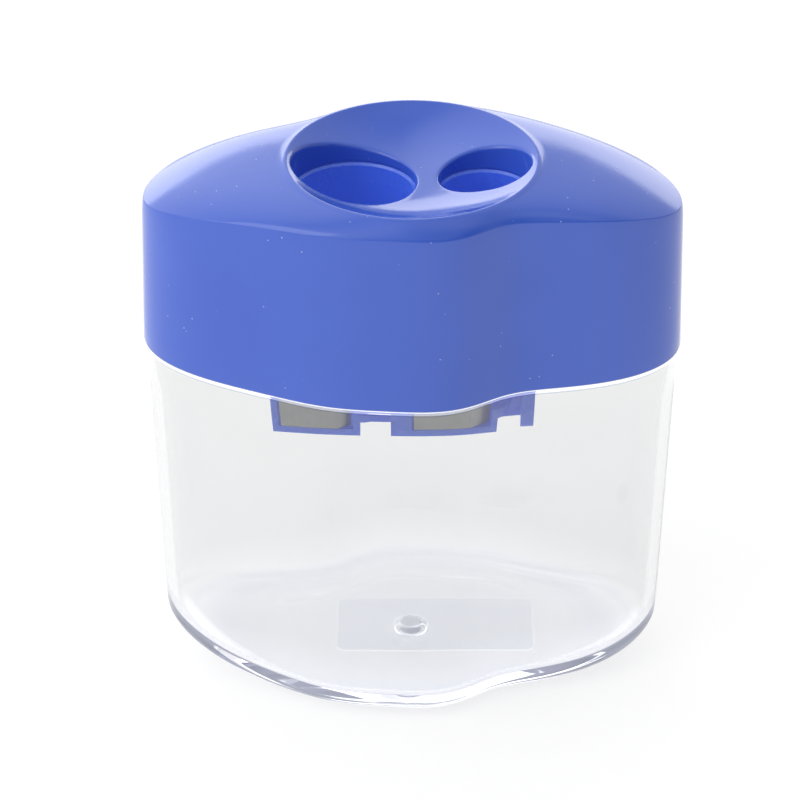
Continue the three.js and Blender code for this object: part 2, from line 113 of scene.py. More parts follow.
# Container: body with a bead under the lid's edge, ledge and neck
SHOULDER_Z = EDGE_Z - 0.05
BODY_INSET, BODY_TAPER, BODY_WALL = 0.25, 0.02, 1.15
BEAD_INSET, BEAD_HEIGHT, BEAD_ROUNDING = 0.05, 0.35, 0.08
BEAD_FOOT_LOW, BEAD_FOOT_HIGH = 0.15, 0.05
LEDGE_Z, LEDGE_FILLET = SHOULDER_Z - 0.5, 0.25
NECK_TOP_Z = node_box("container")[1].z
NECK_CLEARANCE, NECK_WALL = 0.2, 0.95
NECK_ROUNDING, MOUTH_ROUNDING = 0.3, 0.25

# Container: base and floor, with how far across and up their rounded edges reach
BOTTOM_Z, FLOOR_Z = 0.15, 2.0
BASE_HUB, BASE_TIPS = (2.9, 1.9), (11.2, 5.4)
FLOOR_HUB, FLOOR_TIPS = (1.2, 1.2), (9.4, 4.3)
TIP_ROUNDING_POWER = 10
ROUNDING_STEPS = 24

# Container: nub of the moulding gate. Its height rises over GATE_SLOPE of its radius
GATE_RADIUS, GATE_HEIGHT = 1.7, 0.7
GATE_FOOT, GATE_SLOPE = 1.15, 2 / 3
GATE_STEPS = 12

# Label, between the base and what the container stands on
LABEL_CORNER = 0.8
LABEL_Z = (0.03, 0.12)

# Bores: centre, radius, radius of the hole in the lid, length of the straight guide,
# and from which to which x the seat and the blade go
BORES = {
    "large": dict(x=-5.3, radius=5.5, hole=5.68, guide=2.0, block=(-12.93, -4.8),
                  blade=(-12.1, -5.65)),
    "small": dict(x=6.65, radius=4.05, hole=4.2, guide=5.5, block=(-1.9, 7.5),
                  blade=(0.25, 6.7)),
}
HOLE_STEPS = 96
LIP = 0.32
LIP_STEPS = 7
BORE_CHAMFER = 0.2
CONE_TIP_RADIUS = 0.45
CONE_TIP_Z = INSERT_LOW.z

# Insert. It is a little narrower and its seats end higher than in the CAD model,
# which was fitted to the photograph without the refraction of the container's wall
PLATE_TOP_Z = INSERT_HIGH.z - 0.08
PLATE, PLATE_CORNER = 1.6, 2.0
SEAT_SIDE, SEAT_Z = 0.42, CONE_TIP_Z + 0.7
SEAT_BORDER, SEAT_THICKNESS, SEAT_GAP = 0.75, 1.8, 0.2
SPLIT_X = 1.4
TUBE_WALL, TUBE_Z = 1.0, 28.5
RIB_FRONT, RIB_BACK, RIB_Z = 0.03, 1.4, 27.7
WEB_Z = 30.2
LEG_WIDTH, LEG_FOOT, LEG_TOP, LEG_Z, LEG_CHAMFER = 1.4, 1.4, 6.0, 26.5, 0.6
LEG_SIDE = 0.04
WINDOW_LOW, WINDOW_HIGH, WINDOW_WIDTH, WINDOW_DEPTH = 2.4, 19.0, 2.8, 1.6
TRIM_TOP = 1.2

# Blades and screws
BLADE_LENGTH, BLADE_THICKNESS, BLADE_BEVEL, BLADE_EDGE = 21.8, 0.9, 1.35, 0.02
BLADE_Z = 27.65
SCREW_HEAD, SCREW_SHANK, SCREW_LENGTH, SCREW_POINT = 2.1, 0.9, 3.2, 0.5
SCREW_GAP, SCREW_SIDE, SINK_OFFSET = 0.2, 0.2, 0.01
SCREW_STEPS = 64
SLOT_HALF_WIDTH, SLOT_DEPTH, SLOT_TURN = 0.27, 0.45, math.radians(30)

# Cutting: how far a cutting solid reaches past what it cuts, how far round solids
# are turned so that no corner lies in a cutting plane, and which points are one
CUT_PAST, CUT_FAR = 6, 12
OFF_AXIS = 0.013
WELD, FINE_WELD = 1e-3, 2e-4

# ---- Outline ----


def outline(steps):
    """Points of the outline, their outward directions, normals and tip shares."""
    angle = np.arange(steps) / steps * 2 * np.pi
    radius = np.full(steps, OUTLINE_MEAN_RADIUS)
    slope = np.zeros(steps)
    for lobes, height, turn in OUTLINE_WAVES:
        radius += height * np.cos(lobes * (angle - turn))
        slope -= height * lobes * np.sin(lobes * (angle - turn))
    outward = np.column_stack([np.cos(angle), np.sin(angle)])
    sideways = np.column_stack([-np.sin(angle), np.cos(angle)])
    tangent = slope[:, None] * outward + radius[:, None] * sideways
    tangent /= np.linalg.norm(tangent, axis=1)[:, None]
    normal = np.column_stack([tangent[:, 1], -tangent[:, 0]])
    share = (radius - radius.min()) / (radius.max() - radius.min())
    return outward * radius[:, None], outward, normal, share


POINT, OUTWARD, NORMAL, TIP = outline(OUTLINE_STEPS)


def inset(distance):
    """The outline moved inwards, by one distance or by one for each point."""
    return POINT - NORMAL * np.broadcast_to(distance, TIP.shape)[:, None]


def circle(centre_x, radius, steps=HOLE_STEPS, turn=0.0):
    angle = np.arange(steps) / steps * 2 * np.pi + turn
    return np.column_stack([centre_x + radius * np.cos(angle), radius * np.sin(angle)])


def rounded_rectangle(centre, half, corner, steps):
    points = []
    for turn in np.linspace(0, 2 * np.pi, steps + 1)[:-1]:
        c, s = math.cos(turn), math.sin(turn)
        points.append((centre[0] + math.copysign(half[0] - corner, c) + corner * c,
                       centre[1] + math.copysign(half[1] - corner, s) + corner * s))
    return np.array(points)


# ---- Rings ----


def ring(plan, z):
    """A ring of 3-D points over plan points."""
    height = np.broadcast_to(np.asarray(z, float), (len(plan),))
    return np.column_stack([plan, height])


def shrunk(edge, share):
    """A level ring drawn in towards the axis."""
    return edge * [share, share, 1]


def between(a, b, shares):
    """Rings at shares of the way from a to b."""
    return [a + (b - a) * share for share in shares]


def smooth_corner(a, corner, b, steps):
    """Rings along a curve that leaves a towards the corner and ends at b."""
    rings = []
    for step in range(steps + 1):
        t = step / steps
        rings.append((1 - t) ** 2 * a + 2 * t * (1 - t) * corner + t ** 2 * b)
    return rings


# ---- Mesh building ----


class Skin:
    """Collects rings and patches, in millimetres, and welds them into one mesh."""

    def __init__(self):
        self.points = []
        self.faces = []

    def add(self, points, faces):
        start = len(self.points)
        self.points.extend(map(tuple, points))
        self.faces.extend([start + i for i in face] for face in faces)

    def loft(self, rings):
        count = len(rings[0])
        faces = []
        for level in range(len(rings) - 1):
            low, high = level * count, (level + 1) * count
            for i in range(count):
                j = (i + 1) % count
                faces.append((low + i, low + j, high + j, high + i))
        self.add(np.concatenate(rings), faces)

    def cap(self, edge, centre):
        count = len(edge)
        points = np.vstack([edge, centre])
        self.add(points, [(i, (i + 1) % count, count) for i in range(count)])

    def raw_mesh(self, name):
        """The welded mesh, still in millimetres."""
        bm = bmesh.new()
        verts = [bm.verts.new(point) for point in self.points]
        for face in self.faces:
            bm.faces.new([verts[i] for i in face])
        bmesh.ops.remove_doubles(bm, verts=bm.verts, dist=FINE_WELD)
        bmesh.ops.recalc_face_normals(bm, faces=bm.faces)
        mesh = bpy.data.meshes.new(name)
        bm.to_mesh(mesh)
        bm.free()
        return mesh

    def mesh(self, name, smooth_angle):
        return in_metres(self.raw_mesh(name), smooth_angle)


def in_metres(mesh, smooth_angle):
    """Scales a mesh to metres. Edges over the angle, in degrees, stay sharp."""
    mesh.transform(Matrix.Scale(MM, 4))
    mesh.shade_smooth()
    mesh.set_sharp_from_angle(angle=math.radians(smooth_angle))
    return mesh


def patch(edge, spacing, hole_rings, height):
    """Triangles over the area inside an edge loop, around the holes.

    hole_rings gives, for each hole, its centre x and the radii of the point
    rings around it, the smallest of which is the hole's edge. The area between
    is filled from a triangular grid, whose points keep a margin to the edges."""
    margin = 0.6 * spacing
    loops = [edge] + [circle(x, radius) for x, radii in hole_rings for radius in radii]
    edge_radius = np.linalg.norm(edge, axis=1)
    edge_angle = np.arctan2(edge[:, 1], edge[:, 0]) % (2 * np.pi)
    order = np.argsort(edge_angle)
    inner = []
    reach = edge_radius.max()
    for row, y in enumerate(np.arange(-reach, reach, spacing * math.sqrt(3) / 2)):
        for x in np.arange(-reach, reach, spacing) + (row % 2) * spacing / 2:
            angle = math.atan2(y, x) % (2 * math.pi)
            limit = np.interp(angle, edge_angle[order], edge_radius[order],
                              period=2 * math.pi)
            clear = math.hypot(x, y) < limit - margin
            for centre, radii in hole_rings:
                clear &= math.hypot(x - centre, y) > max(radii) + margin
            if clear:
                inner.append((x, y))
    points = np.vstack(loops + [np.array(inner)])
    edges = []
    start = 0
    for loop in loops:
        count = len(loop)
        edges += [(start + i, start + (i + 1) % count) for i in range(count)]
        start += count
    made, _, faces, *_ = delaunay_2d_cdt(
        [Vector(point) for point in points], edges, [], 1, 1e-6)
    plan = np.array([tuple(point) for point in made])
    # The points come back in single precision, so the ones given are used again
    if len(plan) == len(points) and np.abs(plan - points).max() < WELD:
        plan = points
    kept = []
    for face in faces:
        x, y = plan[list(face)].mean(axis=0)
        if all(math.hypot(x - c, y) > min(radii) * math.cos(math.pi / HOLE_STEPS)
               for c, radii in hole_rings):
            kept.append(tuple(face))
    return ring(plan, height(plan)), kept


# ---- Lid ----


def crease_z(x):
    return CREASE_Z - TIP_DROP * (np.abs(x) / TIP_X) ** TIP_DROP_POWER


def roof_z(plan):
    return crease_z(plan[:, 0]) - ROOF


def lid_inset(z):
    return (HUB_DRAFT + (TIP_DRAFT - HUB_DRAFT) * TIP) * (z - EDGE_Z)


def dish_z(plan):
    share = np.hypot(plan[:, 0] / RIM_X, plan[:, 1] / RIM_Y)
    start, end = DISH_LIFT_X
    across = np.clip((plan[:, 0] - start) / (end - start), 0, 1)
    lift = DISH_LIFT * across ** 2 * (3 - 2 * across)
    return RIM_Z - DISH_DEPTH * (1 - share ** DISH_POWER) * (1 - lift)


def lip_drop(plan):
    """How far the rounded lip of a pencil hole falls below the dish."""
    drop = np.zeros(len(plan))
    for bore in BORES.values():
        distance = np.hypot(plan[:, 0] - bore["x"], plan[:, 1])
        share = np.clip((distance - bore["hole"]) / LIP, 0, 1)
        drop = np.maximum(drop, LIP * (1 - np.sqrt(1 - (1 - share) ** 2)))
    return drop


def dish_and_lips(plan):
    return dish_z(plan) - lip_drop(plan)


def lip_radii(bore):
    """Radii of the point rings of a lip, closer together towards the dish."""
    turns = [RIGHT_ANGLE * step / LIP_STEPS for step in range(LIP_STEPS + 1)]
    return [bore["hole"] + LIP * (1 - math.sin(turn)) for turn in turns]


def flank(share, corner, rim):
    """The surface between the crease, at share 0, and the rim, at share 1."""
    share = share[:, 0]
    # 0 at the hub and the tips, and 1 halfway between them
    corners = (2 * OUTWARD[:, 0] * OUTWARD[:, 1]) ** 2
    power = HUB_POWER + WING_POWER * TIP ** WING_SHARE_POWER - CORNER_POWER * corners
    plan = corner[:, :2] * (1 - share)[:, None] + rim[:, :2] * share[:, None]
    low = FLANK_OFFSET ** power
    curve = ((share + FLANK_OFFSET) ** power - low) / ((1 + FLANK_OFFSET) ** power - low)
    base = crease_z(plan[:, 0])
    return ring(plan, base + (rim[:, 2] - base) * curve)


def add_lid_outside(skin, foot):
    """The rounded lower edge, side wall, crease, flanks, rim and dish."""
    corner_z = crease_z(POINT[:, 0])
    corner = ring(inset(lid_inset(corner_z)), corner_z)
    below_z = corner_z - CREASE_FALL
    below = ring(inset(lid_inset(below_z)), below_z)
    axes = np.array([RIM_X, RIM_Y])
    crest = ring(OUTWARD * axes, RIM_Z)
    dish_plan = OUTWARD * axes * RIM_INNER_SHARE
    dish_edge = ring(dish_plan, dish_z(dish_plan))
    rim = ring(OUTWARD * (axes + RIM_OUTER), RIM_Z - RIM_OUTER_DROP)
    width = np.linalg.norm(corner[:, :2] - rim[:, :2], axis=1)
    start = np.minimum(CREASE_REACH / width, CREASE_REACH_SHARE)[:, None]
    edge = np.minimum(CREASE_EDGE / width, CREASE_EDGE_SHARE)[:, None]
    flanks = [flank(start, corner, rim)]
    flanks += [flank(start + edge + (1 - start - edge) * share, corner, rim)
               for share in np.linspace(0, 1, 26)]
    turn = corner - [0, 0, CREASE_STEP]
    foot_corner = ring(inset(0.0), EDGE_Z)
    foot_wall = ring(inset(lid_inset(EDGE_Z + EDGE_ROUNDING)), EDGE_Z + EDGE_ROUNDING)
    skin.loft(
        smooth_corner(foot, foot_corner, foot_wall, 4)
        + between(foot_wall, below, np.linspace(0, 1, 9))[1:]
        + smooth_corner(below, turn, flanks[0], 10)[1:]
        + flanks[1:]
        + smooth_corner(rim, crest, dish_edge, 8)[1:]
    )
    holes = [(bore["x"], lip_radii(bore)) for bore in BORES.values()]
    skin.add(*patch(dish_plan, DISH_GRID, holes, dish_and_lips))


def add_lid_underside(skin, foot):
    """The flat lower edge, the inner wall and the roof, open at the pencil holes."""
    corner_z = crease_z(POINT[:, 0])
    roof_plan = inset(LID_WALL + lid_inset(corner_z) + ROOF_ROUNDING)
    roof_corner = ring(inset(LID_WALL + lid_inset(corner_z)), corner_z - ROOF)
    roof_edge = ring(roof_plan, roof_z(roof_plan))
    under_z = corner_z - ROOF - ROOF_ROUNDING
    under = ring(inset(LID_WALL + lid_inset(under_z)), under_z)
    inner_foot = ring(inset(LID_WALL), EDGE_Z)
    skin.loft([foot, inner_foot] + between(inner_foot, under, (0.02, 0.5, 1)))
    skin.loft(smooth_corner(under, roof_corner, roof_edge, 5))
    wells = [(bore["x"], [bore["hole"]]) for bore in BORES.values()]
    skin.add(*patch(roof_plan, ROOF_GRID, wells, roof_z))


def add_pencil_holes(skin):
    """The walls of the pencil holes, from the lips down to the roof."""
    for bore in BORES.values():
        edge = circle(bore["x"], bore["hole"])
        top, bottom = ring(edge, dish_and_lips(edge)), ring(edge, roof_z(edge))
        skin.loft(between(top, bottom, (0, 0.05, 0.5, 0.95, 1)))


def lid_mesh():
    skin = Skin()
    foot = ring(inset(EDGE_ROUNDING), EDGE_Z)
    add_lid_outside(skin, foot)
    add_lid_underside(skin, foot)
    add_pencil_holes(skin)
    return skin.mesh("lid_shell", 50)


# ---- Container ----


def body_inset(z):
    return BODY_INSET + BODY_TAPER * (SHOULDER_Z - z)


def cavity_inset(z):
    return body_inset(z) + BODY_WALL


def neck_inset():
    return NECK_CLEARANCE + LID_WALL + lid_inset(NECK_TOP_Z)


def mouth_inset(z):
    return neck_inset() + NECK_WALL + BODY_TAPER * (NECK_TOP_Z - z)


def rounded_rings(bottom_z, wall_inset, hub, tips):
    """Rings of a rounded lower edge, from the flat bottom up to the side wall."""
    tip = np.abs(OUTWARD[:, 0]) ** TIP_ROUNDING_POWER
    across = hub[0] + (tips[0] - hub[0]) * tip
    up = hub[1] + (tips[1] - hub[1]) * tip
    rings = []
    for step in range(ROUNDING_STEPS + 1):
        turn = RIGHT_ANGLE * step / ROUNDING_STEPS
        z = bottom_z + up * (1 - math.cos(turn))
        plan = inset(wall_inset(z)) - OUTWARD * (across * (1 - math.sin(turn)))[:, None]
        rings.append(ring(plan, z))
    return rings


def side_rings(wall_inset, low, high, shares):
    """Rings of a side wall at shares of the way from low to high."""
    heights = [low + (high - low) * share for share in shares]
    return [ring(inset(wall_inset(z)), z) for z in heights]


def add_body(skin):
    """The outside from the middle of the base to the shoulder, whose edge it returns."""
    base = rounded_rings(BOTTOM_Z, body_inset, BASE_HUB, BASE_TIPS)
    skin.cap(shrunk(base[0], 0.3), [0, 0, BOTTOM_Z])
    skin.loft([shrunk(base[0], share) for share in (0.3, 0.7, 0.97, 1)] + base[1:])
    bead_z = SHOULDER_Z - BEAD_HEIGHT
    walls = side_rings(body_inset, base[-1][:, 2], bead_z - BEAD_FOOT_LOW,
                       np.linspace(0, 1, 8))
    bead_corner = ring(inset(body_inset(bead_z)), bead_z)
    bead_low = ring(inset(BEAD_INSET), bead_z + BEAD_FOOT_HIGH)
    bead_high = ring(inset(BEAD_INSET), SHOULDER_Z - BEAD_ROUNDING)
    shoulder_corner = ring(inset(BEAD_INSET), SHOULDER_Z)
    shoulder = ring(inset(BEAD_INSET + BEAD_ROUNDING), SHOULDER_Z)
    skin.loft(walls)
    skin.loft(smooth_corner(walls[-1], bead_corner, bead_low, 4))
    skin.loft([bead_low, bead_high])
    skin.loft(smooth_corner(bead_high, shoulder_corner, shoulder, 4))
    return shoulder


def add_neck(skin, shoulder):
    """The outside of the neck up to its top, whose edge it returns."""
    neck = neck_inset()
    foot = ring(inset(neck), SHOULDER_Z)
    side = ring(inset(neck), NECK_TOP_Z - NECK_ROUNDING)
    corner = ring(inset(neck), NECK_TOP_Z)
    top = ring(inset(neck + NECK_ROUNDING), NECK_TOP_Z)
    skin.loft([shoulder, foot])
    skin.loft([foot, side])
    skin.loft(smooth_corner(side, corner, top, 5))
    return top


def add_cavity(skin, neck_top):
    """The inside from the neck's top to the edge of the flat floor, which it returns."""
    side_z = NECK_TOP_Z - MOUTH_ROUNDING
    mouth = ring(inset(mouth_inset(NECK_TOP_Z) - MOUTH_ROUNDING), NECK_TOP_Z)
    mouth_corner = ring(inset(mouth_inset(NECK_TOP_Z)), NECK_TOP_Z)
    mouth_side = ring(inset(mouth_inset(side_z)), side_z)
    skin.loft([neck_top, mouth])
    skin.loft(smooth_corner(mouth, mouth_corner, mouth_side, 5))
    wall_z = LEDGE_Z - LEDGE_FILLET
    ledge_edge = ring(inset(mouth_inset(LEDGE_Z)), LEDGE_Z)
    ledge_foot = ring(inset(cavity_inset(LEDGE_Z) + LEDGE_FILLET), LEDGE_Z)
    ledge_corner = ring(inset(cavity_inset(LEDGE_Z)), LEDGE_Z)
    wall_top = ring(inset(cavity_inset(wall_z)), wall_z)
    skin.loft([mouth_side, ledge_edge, ledge_foot])
    skin.loft(smooth_corner(ledge_foot, ledge_corner, wall_top, 5))
    floor = rounded_rings(FLOOR_Z, cavity_inset, FLOOR_HUB, FLOOR_TIPS)
    skin.loft(side_rings(cavity_inset, floor[-1][:, 2], wall_z, np.linspace(1, 0, 9)))
    skin.loft(floor[::-1])
    return floor[0]


def gate_profile():
    """Radius and height shares of the low round nub, from its foot to its top."""
    shares = []
    for step in range(GATE_STEPS):
        t = step / GATE_STEPS
        height = (1 - math.cos(math.pi * min(1, t / GATE_SLOPE))) / 2
        shares.append((GATE_FOOT - t, height))
    return shares


def add_floor(skin, floor_edge):
    """The flat floor and the nub of the moulding gate in its middle."""
    nub = [ring(OUTWARD * GATE_RADIUS * radius, FLOOR_Z + GATE_HEIGHT * height)
           for radius, height in gate_profile()]
    skin.loft([floor_edge, shrunk(floor_edge, 0.97), shrunk(floor_edge, 0.6), nub[0]])
    skin.loft(nub)
    skin.cap(nub[-1], [0, 0, FLOOR_Z + GATE_HEIGHT])


def container_mesh():
    skin = Skin()
    shoulder = add_body(skin)
    neck_top = add_neck(skin, shoulder)
    floor_edge = add_cavity(skin, neck_top)
    add_floor(skin, floor_edge)
    return skin.mesh("clear_container", 60)


# ---- Label ----


def label_mesh():
    centre = (LABEL_LOW + LABEL_HIGH) / 2
    plan = rounded_rectangle(centre, (LABEL_HIGH - LABEL_LOW) / 2, LABEL_CORNER, 48)
    skin = Skin()
    skin.cap(ring(plan, LABEL_Z[0]), [centre.x, centre.y, LABEL_Z[0]])
    skin.loft([ring(plan, z) for z in LABEL_Z])
    skin.cap(ring(plan, LABEL_Z[1]), [centre.x, centre.y, LABEL_Z[1]])
    return skin.mesh("blank_label", 30)


# ---- Solids for cutting and joining ----


def helper(skin, name, matrix=None):
    """An object in millimetres, for cutting and joining."""
    mesh = skin.raw_mesh(name)
    if matrix is not None:
        mesh.transform(matrix)
    obj = bpy.data.objects.new(name, mesh)
    bpy.context.collection.objects.link(obj)
    return obj


def turned(name, profile, centre_x, steps=HOLE_STEPS, matrix=None):
    """A turned solid. The profile lists radius and z from bottom to top."""
    skin = Skin()
    rings = [ring(circle(centre_x, radius, steps, OFF_AXIS), z) for radius, z in profile]
    skin.cap(rings[0], [centre_x, 0, profile[0][1]])
    skin.loft(rings)
    skin.cap(rings[-1], [centre_x, 0, profile[-1][1]])
    return helper(skin, name, matrix)


def slab(name, ends, matrix=None):
    """A solid between two flat ends of as many points."""
    skin = Skin()
    skin.loft(ends)
    for end in ends:
        skin.add(end, [range(len(end))])
    return helper(skin, name, matrix)


def prism(name, section, x, matrix=None):
    """A prism along X over a section of y and z points."""
    return slab(name, [np.array([(end, y, z) for y, z in section]) for end in x], matrix)


def box_section(y, z):
    return [(y[0], z[0]), (y[1], z[0]), (y[1], z[1]), (y[0], z[1])]


def combine(base, tools, operation):
    """Joins or cuts the tools into the base, and deletes them."""
    for tool in tools:
        modifier = base.modifiers.new(operation.lower(), "BOOLEAN")
        modifier.operation = operation
        modifier.solver = "EXACT"
        modifier.object = tool
        evaluated = base.evaluated_get(bpy.context.evaluated_depsgraph_get())
        mesh = bpy.data.meshes.new_from_object(evaluated)
        base.modifiers.clear()
        base.data = mesh
        bpy.data.objects.remove(tool)


def finished(obj, smooth_angle):
    """The object's mesh, with the points that the cuts leave too close welded."""
    mesh = obj.data
    bm = bmesh.new()
    bm.from_mesh(mesh)
    bmesh.ops.remove_doubles(bm, verts=bm.verts, dist=WELD)
    bmesh.ops.dissolve_degenerate(bm, edges=bm.edges, dist=WELD)
    bm.to_mesh(mesh)
    bm.free()
    bpy.data.objects.remove(obj)
    return in_metres(mesh, smooth_angle)


# ---- Insert, cut out of overlapping moulded solids ----


def cone_slope(bore):
    top = INSERT_HIGH.z - bore["guide"]
    return (bore["radius"] - CONE_TIP_RADIUS) / (top - CONE_TIP_Z)


def cone_radius(bore, z):
    return CONE_TIP_RADIUS + cone_slope(bore) * (z - CONE_TIP_Z)


def cone_stretch(bore):
    """How much wider a leaning slab is when it is measured level."""
    return 1 / math.cos(math.atan(cone_slope(bore)))


def blade_frame(bore):
    """The frame that touches the cone along its front line, in millimetres."""
    tilt = Matrix.Rotation(math.atan(cone_slope(bore)), 4, "X")
    return Matrix.Translation((0, -cone_radius(bore, BLADE_Z), BLADE_Z)) @ tilt


def tube(name, bore, top):
    """The wall around a bore."""
    return turned(name, [
        (cone_radius(bore, TUBE_Z) + TUBE_WALL, TUBE_Z),
        (bore["radius"] + TUBE_WALL, PLATE_TOP_Z - bore["guide"]),
        (bore["radius"] + TUBE_WALL, top),
    ], bore["x"])


def seat(bore, top):
    """The block that leans with the cone and carries the blade."""

    def face(z, offset):
        return (-cone_radius(bore, z) + offset * cone_stretch(bore), z)

    return prism("seat", [
        face(SEAT_Z, -2 * SEAT_BORDER), face(SEAT_Z, SEAT_THICKNESS),
        face(top, SEAT_THICKNESS), face(top, -2 * SEAT_BORDER),
    ], bore["block"])


def rib(x, top):
    """The wall along the middle, behind the blades."""
    return prism("rib", box_section((RIB_FRONT, RIB_BACK), (RIB_Z, top)), x)


def web(bore, x, top):
    """Fills the wedge that a leaning seat leaves in front of the rib."""
    middle = SEAT_THICKNESS / 2 * cone_stretch(bore)
    return prism("web", [
        (middle - cone_radius(bore, WEB_Z), WEB_Z), (RIB_BACK / 2, WEB_Z),
        (RIB_BACK / 2, top), (middle - cone_radius(bore, top), top),
    ], x)


def leg(x, top):
    """An end wall that tapers down to a narrow foot."""
    return prism("leg", [
        (-LEG_FOOT + LEG_CHAMFER, LEG_Z), (LEG_FOOT - LEG_CHAMFER, LEG_Z),
        (LEG_FOOT, LEG_Z + LEG_CHAMFER), (LEG_TOP, top), (-LEG_TOP, top),
        (-LEG_FOOT, LEG_Z + LEG_CHAMFER),
    ], x)


def plate():
    """The plate under the lid's roof, which holds everything together."""
    centre = ((INSERT_LOW.x + INSERT_HIGH.x) / 2, 0)
    half = ((INSERT_HIGH.x - INSERT_LOW.x) / 2, INSERT_HIGH.y)
    plan = rounded_rectangle(centre, half, PLATE_CORNER, 32)
    return slab("plate", [ring(plan, z) for z in (PLATE_TOP_Z - PLATE, PLATE_TOP_Z)])


def cone(bore):
    """What a pencil and its cone take up, with a chamfer at the top."""
    mouth = bore["radius"] + BORE_CHAMFER
    return turned("bore", [
        (CONE_TIP_RADIUS, CONE_TIP_Z - 1), (CONE_TIP_RADIUS, CONE_TIP_Z),
        (bore["radius"], INSERT_HIGH.z - bore["guide"]),
        (bore["radius"], PLATE_TOP_Z - BORE_CHAMFER),
        (mouth, PLATE_TOP_Z), (mouth, PLATE_TOP_Z + 1),
    ], bore["x"])


def trim(bore, x):
    """Takes off what stands in front of a seat."""
    section = box_section((-CUT_FAR, -SEAT_BORDER), (-CUT_PAST, BLADE_LENGTH + TRIM_TOP))
    return prism("trim", section, x, blade_frame(bore))


def pocket(bore):
    """Room for the blade."""
    left, right = bore["blade"]
    section = box_section((-CUT_PAST, SEAT_GAP), (-SEAT_GAP, BLADE_LENGTH + SEAT_GAP))
    return prism("pocket", section, (left - SEAT_GAP, right + SEAT_GAP), blade_frame(bore))


def window(bore):
    """The slot beside the cutting edge, where the shavings come out."""
    edge = bore["blade"][1]
    section = box_section((-CUT_PAST, WINDOW_DEPTH), (WINDOW_LOW, WINDOW_HIGH))
    return prism("window", section, (edge, edge + WINDOW_WIDTH), blade_frame(bore))


def insert_mesh():
    left, right = INSERT_LOW.x + SEAT_SIDE, INSERT_HIGH.x - SEAT_SIDE
    large, small = BORES.values()
    # Each solid ends at its own height inside the plate, so no faces coincide
    top = [PLATE_TOP_Z - PLATE * share
           for share in (0.75, 0.7, 0.65, 0.6, 0.55, 0.5, 0.45, 0.4)]
    base = tube("insert", large, top[0])
    combine(base, [
        tube("tube", small, top[1]),
        seat(large, top[3]),
        seat(small, top[4]),
        rib((left + LEG_WIDTH / 2, right - LEG_WIDTH / 2), top[2]),
        web(large, (left + LEG_WIDTH / 3, large["x"]), top[7]),
        leg((left + LEG_SIDE, left + LEG_WIDTH), top[5]),
        leg((right - LEG_WIDTH, right - LEG_SIDE), top[6]),
    ], "UNION")
    combine(base, [
        trim(large, (left - 2, SPLIT_X)),
        trim(small, (SPLIT_X, right + 2)),
        pocket(large),
        pocket(small),
        window(large),
        window(small),
    ], "DIFFERENCE")
    combine(base, [plate()], "UNION")
    combine(base, [cone(large), cone(small)], "DIFFERENCE")
    return finished(base, 35)


# ---- Blades and screws ----


def screw_frame(bore):
    """The frame at the middle of a blade's back. +Z points out of its face."""
    x = (bore["blade"][0] + bore["blade"][1]) / 2 - SCREW_SIDE
    place = Matrix.Translation((x, 0, BLADE_LENGTH / 2))
    return blade_frame(bore) @ place @ Matrix.Rotation(RIGHT_ANGLE, 4, "X")


def blade_mesh(name, bore):
    """A blade with one bevelled edge and a countersunk hole."""
    left, right = bore["blade"]
    section = [(left, -BLADE_THICKNESS), (right - BLADE_BEVEL, -BLADE_THICKNESS),
               (right, -BLADE_EDGE), (right, 0), (left, 0)]
    ends = [np.array([(x, y, z) for x, y in section]) for z in (0, BLADE_LENGTH)]
    bar = slab(name, ends, blade_frame(bore))
    shank, head = SCREW_SHANK + SCREW_GAP, SCREW_HEAD + SCREW_GAP
    sink = turned("sink", [
        (shank, -1), (shank, SINK_OFFSET),
        (head, BLADE_THICKNESS + SINK_OFFSET), (head, 2),
    ], 0, SCREW_STEPS, screw_frame(bore))
    combine(bar, [sink], "DIFFERENCE")
    return finished(bar, 30)


def screw_mesh(name, bore):
    """A countersunk screw with a low domed head and a slot."""
    face = BLADE_THICKNESS
    screw = turned(name, [
        (SCREW_SHANK * 0.5, -SCREW_LENGTH), (SCREW_SHANK, -SCREW_LENGTH + SCREW_POINT),
        (SCREW_SHANK, 0.05), (SCREW_HEAD, face - 0.05), (SCREW_HEAD, face + 0.02),
        (SCREW_HEAD * 0.7, face + 0.17), (SCREW_HEAD * 0.35, face + 0.23),
    ], 0, SCREW_STEPS, screw_frame(bore))
    section = box_section((-SLOT_HALF_WIDTH, SLOT_HALF_WIDTH), (face - SLOT_DEPTH, face + 1))
    slot = prism("slot", section, (-3, 3),
                 screw_frame(bore) @ Matrix.Rotation(SLOT_TURN, 4, "Z"))
    combine(screw, [slot], "DIFFERENCE")
    return finished(screw, 40)


# ---- Materials ----


